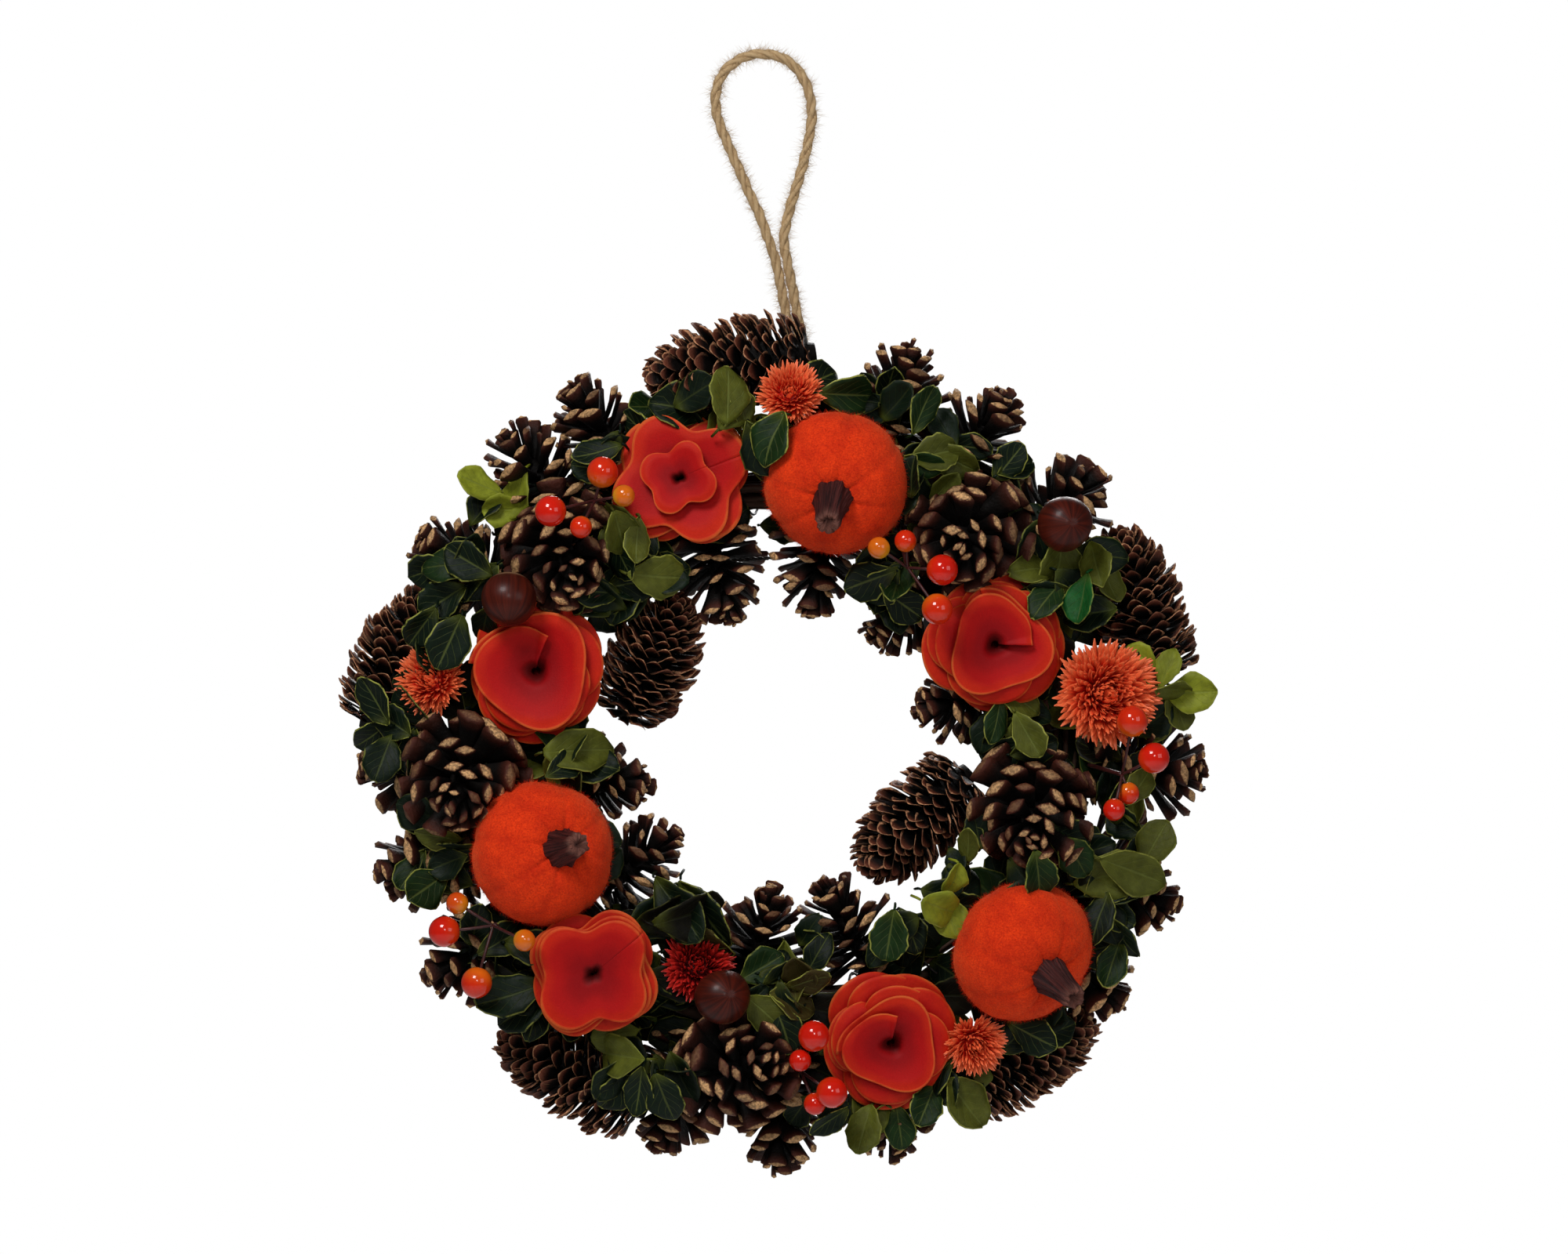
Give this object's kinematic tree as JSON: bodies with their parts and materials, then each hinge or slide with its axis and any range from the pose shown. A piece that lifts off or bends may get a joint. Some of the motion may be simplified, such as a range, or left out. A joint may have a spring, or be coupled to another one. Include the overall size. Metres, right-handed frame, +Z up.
{
  "type": "door wreath",
  "caption": "Round harvest door wreath of cones, felt pumpkins, wood-shaving roses, berries and leaves on a twig ring, hung by a twine loop.",
  "frame": {"origin": "inside top of the twine loop, where the hook bears on it; the wreath hangs below", "axes": "+Z up, -Y out of the front, towards the viewer; +X to the viewer's right"},
  "size_m": [0.3382, 0.0891, 0.4398],
  "materials": {
    "twigs": "rough bark",
    "jute": "hairy twisted twine",
    "cone_bark": "dry scales",
    "orange_felt": "flocked",
    "stem_wood": "dry stalk",
    "red_shaving": "dyed shaving, matt",
    "strawflower_bract": "dry petals",
    "chestnut_shell": "polished shell",
    "preserved_leaf": "preserved leaf, satin",
    "berry_skin": "lacquered"
  },
  "bodies": {
    "hanging_loop": {"twine_loop": "jute"},
    "tie": {"twine_tie": "jute"},
    "wreath": {"berry_pick_bottom": "berry_skin", "berry_pick_left": "berry_skin", "berry_pick_right": "berry_skin", "berry_pick_top_left": "berry_skin", "berry_pick_top_right": "berry_skin", "chestnut_bottom": "chestnut_shell", "chestnut_left": "chestnut_shell", "chestnut_right": "chestnut_shell", "leaf_spray_bottom": "preserved_leaf", "leaf_spray_left_high": "preserved_leaf", "leaf_spray_left_low": "preserved_leaf", "leaf_spray_right_high": "preserved_leaf", "leaf_spray_right_low": "preserved_leaf", "leaf_spray_top_left": "preserved_leaf", "leaf_spray_top_right": "preserved_leaf", "pine_cone_bottom_left": "cone_bark", "pine_cone_front_bottom": "cone_bark", "pine_cone_front_left": "cone_bark", "pine_cone_front_right": "cone_bark", "pine_cone_front_top_left": "cone_bark", "pine_cone_front_top_right": "cone_bark", "pine_cone_left": "cone_bark", "pine_cone_left_high": "cone_bark", "pine_cone_right": "cone_bark", "pine_cone_top_right": "cone_bark", "pine_cones_bottom": "cone_bark", "pine_cones_inner_bottom": "cone_bark", "pine_cones_inner_left": "cone_bark", "pine_cones_inner_right": "cone_bark", "pine_cones_inner_top": "cone_bark", "pine_cones_left_low": "cone_bark", "pine_cones_right_high": "cone_bark", "pine_cones_right_low": "cone_bark", "pine_cones_top_left": "cone_bark", "pumpkin_left": "orange_felt", "pumpkin_left_stem": "stem_wood", "pumpkin_right": "orange_felt", "pumpkin_right_stem": "stem_wood", "pumpkin_top": "orange_felt", "pumpkin_top_stem": "stem_wood", "ring_base": "twigs", "rose_bottom": "red_shaving", "rose_bottom_left": "red_shaving", "rose_left": "red_shaving", "rose_right": "red_shaving", "rose_top": "red_shaving", "spruce_cone_bottom_left": "cone_bark", "spruce_cone_bottom_right": "cone_bark", "spruce_cone_inner_left": "cone_bark", "spruce_cone_inner_right": "cone_bark", "spruce_cone_left": "cone_bark", "spruce_cone_right": "cone_bark", "spruce_cone_top": "cone_bark", "strawflower_bottom_left": "strawflower_bract", "strawflower_bottom_right": "strawflower_bract", "strawflower_left": "strawflower_bract", "strawflower_right": "strawflower_bract", "strawflower_top": "strawflower_bract"}
  },
  "joints": [
    {"name": "loop_sway", "type": "hinge", "parent": "hanging_loop", "child": "tie", "pos_m": [0.0206, 0, -0.1414], "axis": [0, 1, 0], "range_deg": [-8, 8]},
    {"name": "loop_fold", "type": "hinge", "parent": "tie", "child": "wreath", "pos_m": [0.01847, 0, -0.16354], "axis": [0.9954, 0, -0.0958], "range_deg": [-4, 100]}
  ]
}
